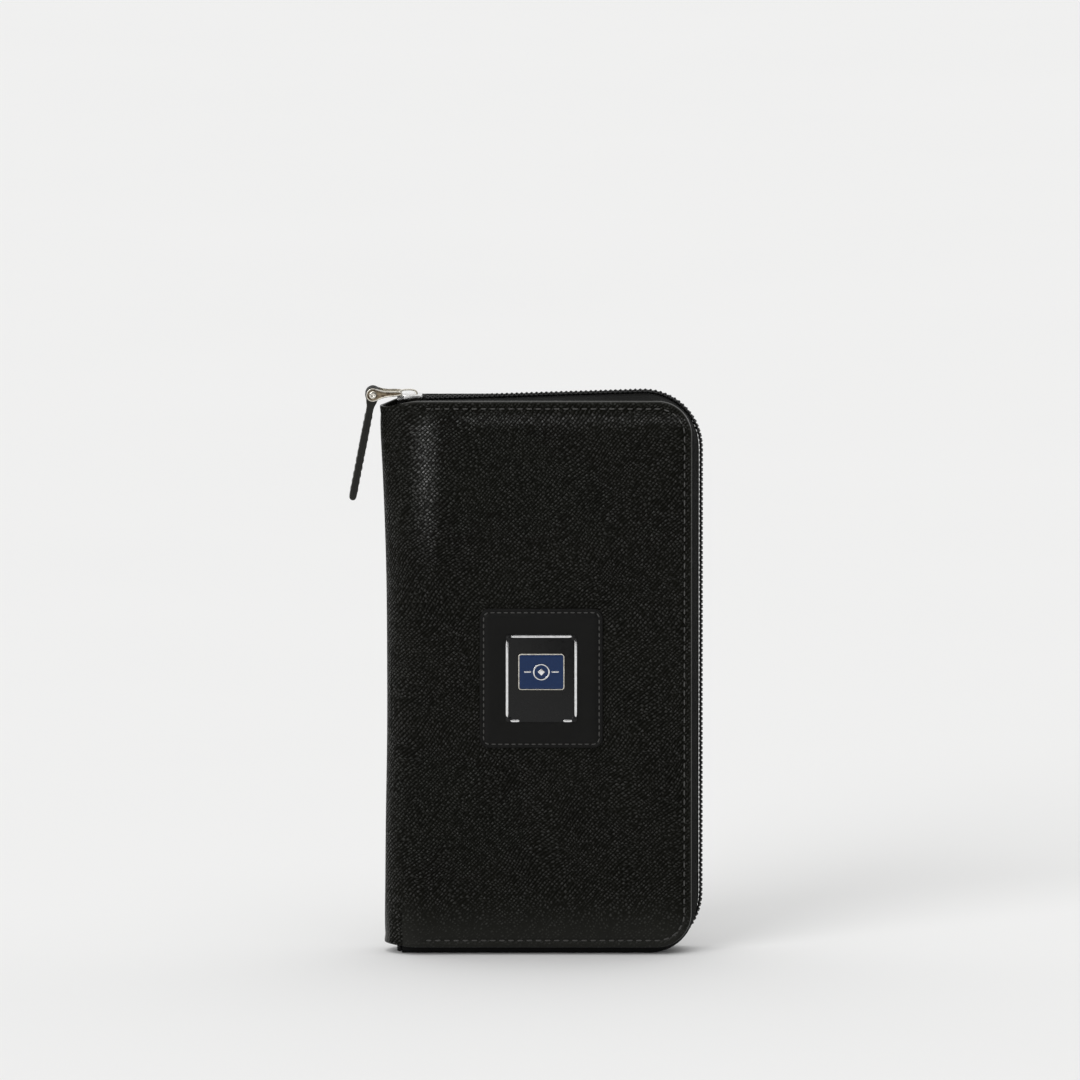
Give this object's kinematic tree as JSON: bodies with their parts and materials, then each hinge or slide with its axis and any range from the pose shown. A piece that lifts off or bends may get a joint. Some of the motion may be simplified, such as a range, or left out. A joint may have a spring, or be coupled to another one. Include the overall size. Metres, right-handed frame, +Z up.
{
  "type": "travel document organizer",
  "caption": "Upright zip-around travel document organizer: padded leather covers on a rounded spine, a framed badge, and inside pockets for tickets, passport, cards and coins.",
  "frame": {"origin": "middle of the footprint, with the hanging puller, on the plane the organizer stands on", "axes": "+Z up, spine at -X, zipper at +X, front cover and badge facing -Y"},
  "size_m": [0.1432, 0.0276, 0.2311],
  "materials": {
    "leather": "fine crosshatch grain, satin",
    "smooth_leather": "smooth, satin",
    "pocket_leather": "fine grain, matte",
    "lining": "twill weave, matte",
    "padding": "open-cell foam",
    "stiffener": "matte",
    "thread": "waxed thread",
    "zipper_tape": "herringbone tape",
    "zipper_coil": "nylon coil",
    "bright_metal": "polished",
    "aged_metal": "antique nickel",
    "badge_black": "satin black",
    "enamel": "glossy blue enamel"
  },
  "bodies": {
    "rear_cover": {"rear_leather": "leather", "spine_leather": "leather", "rear_foam": "padding", "rear_board": "stiffener", "rear_lining": "lining", "spine_lining": "lining", "spine_end_top": "zipper_tape", "spine_end_bottom": "zipper_tape", "rear_stitching": "thread", "rear_zip_tape": "zipper_tape", "rear_coil": "zipper_coil", "rear_zip_stop": "bright_metal", "ticket_panel": "pocket_leather", "ticket_gusset": "pocket_leather", "passport_panel": "pocket_leather", "passport_gusset": "pocket_leather"},
    "spine_fold_a": {"fold_a_leather": "leather", "fold_a_lining": "lining"},
    "spine_fold_b": {"fold_b_leather": "leather", "fold_b_lining": "lining"},
    "front_cover": {"front_leather": "leather", "front_foam": "padding", "front_board": "stiffener", "front_lining": "lining", "front_stitching": "thread", "front_zip_tape": "zipper_tape", "front_coil": "zipper_coil", "front_zip_stop": "bright_metal", "badge_patch": "smooth_leather", "badge_stitching": "thread", "badge_plate": "badge_black", "badge_frame": "bright_metal", "badge_rivets": "badge_black", "badge_bezel": "bright_metal", "badge_enamel": "enamel", "badge_motif": "bright_metal", "card_backing": "lining", "card_slot_1": "pocket_leather", "card_slot_2": "pocket_leather", "card_slot_3": "pocket_leather", "card_slot_4": "pocket_leather", "coin_pocket": "pocket_leather", "coin_zip_tape": "zipper_tape", "coin_zip_coil": "zipper_coil"},
    "slider": {"slider_body": "bright_metal", "slider_bail": "bright_metal"},
    "pull": {"pull_clip": "aged_metal", "pull_pin": "aged_metal"},
    "puller": {"puller_strap": "leather"},
    "coin_zip_slider": {"coin_slider": "bright_metal"},
    "coin_zip_pull": {"coin_pull": "aged_metal"}
  },
  "joints": [
    {"name": "cover_fold_1", "type": "hinge", "parent": "rear_cover", "child": "spine_fold_a", "pos_m": [-0.05591, -0.00336, 0.115], "axis": [0, 0, -1], "range_deg": [0, 40]},
    {"name": "cover_fold_2", "type": "hinge", "parent": "spine_fold_a", "child": "spine_fold_b", "pos_m": [-0.05254, -0.00919, 0.115], "axis": [0, 0, -1], "range_deg": [0, 40]},
    {"name": "cover_fold_3", "type": "hinge", "parent": "spine_fold_b", "child": "front_cover", "pos_m": [-0.04671, -0.01256, 0.115], "axis": [0, 0, -1], "range_deg": [0, 40]},
    {"name": "slider_run", "type": "slide", "parent": "rear_cover", "child": "slider", "axis": [0.9995, 0, 0.0314], "range_m": [0, 0.088], "deforming": ["puller_strap"]},
    {"name": "pull_swing", "type": "hinge", "parent": "slider", "child": "pull", "pos_m": [-0.05085, 0, 0.22854], "axis": [0, 1, 0], "range_deg": [0, 160]},
    {"name": "puller_swing", "type": "hinge", "parent": "pull", "child": "puller", "pos_m": [-0.06204, 0, 0.22798], "axis": [0, 1, 0], "range_deg": [-10, 95]},
    {"name": "coin_slider_run", "type": "slide", "parent": "front_cover", "child": "coin_zip_slider", "axis": [1, 0, 0], "range_m": [0, 0.075]},
    {"name": "coin_pull_swing", "type": "hinge", "parent": "coin_zip_slider", "child": "coin_zip_pull", "pos_m": [-0.02585, -0.00203, 0.212], "axis": [0, 0, 1], "range_deg": [0, 170]}
  ],
  "couplings": [
    {"joint": "cover_fold_2", "follows": "cover_fold_1", "ratio": 1},
    {"joint": "cover_fold_3", "follows": "cover_fold_1", "ratio": 1}
  ]
}
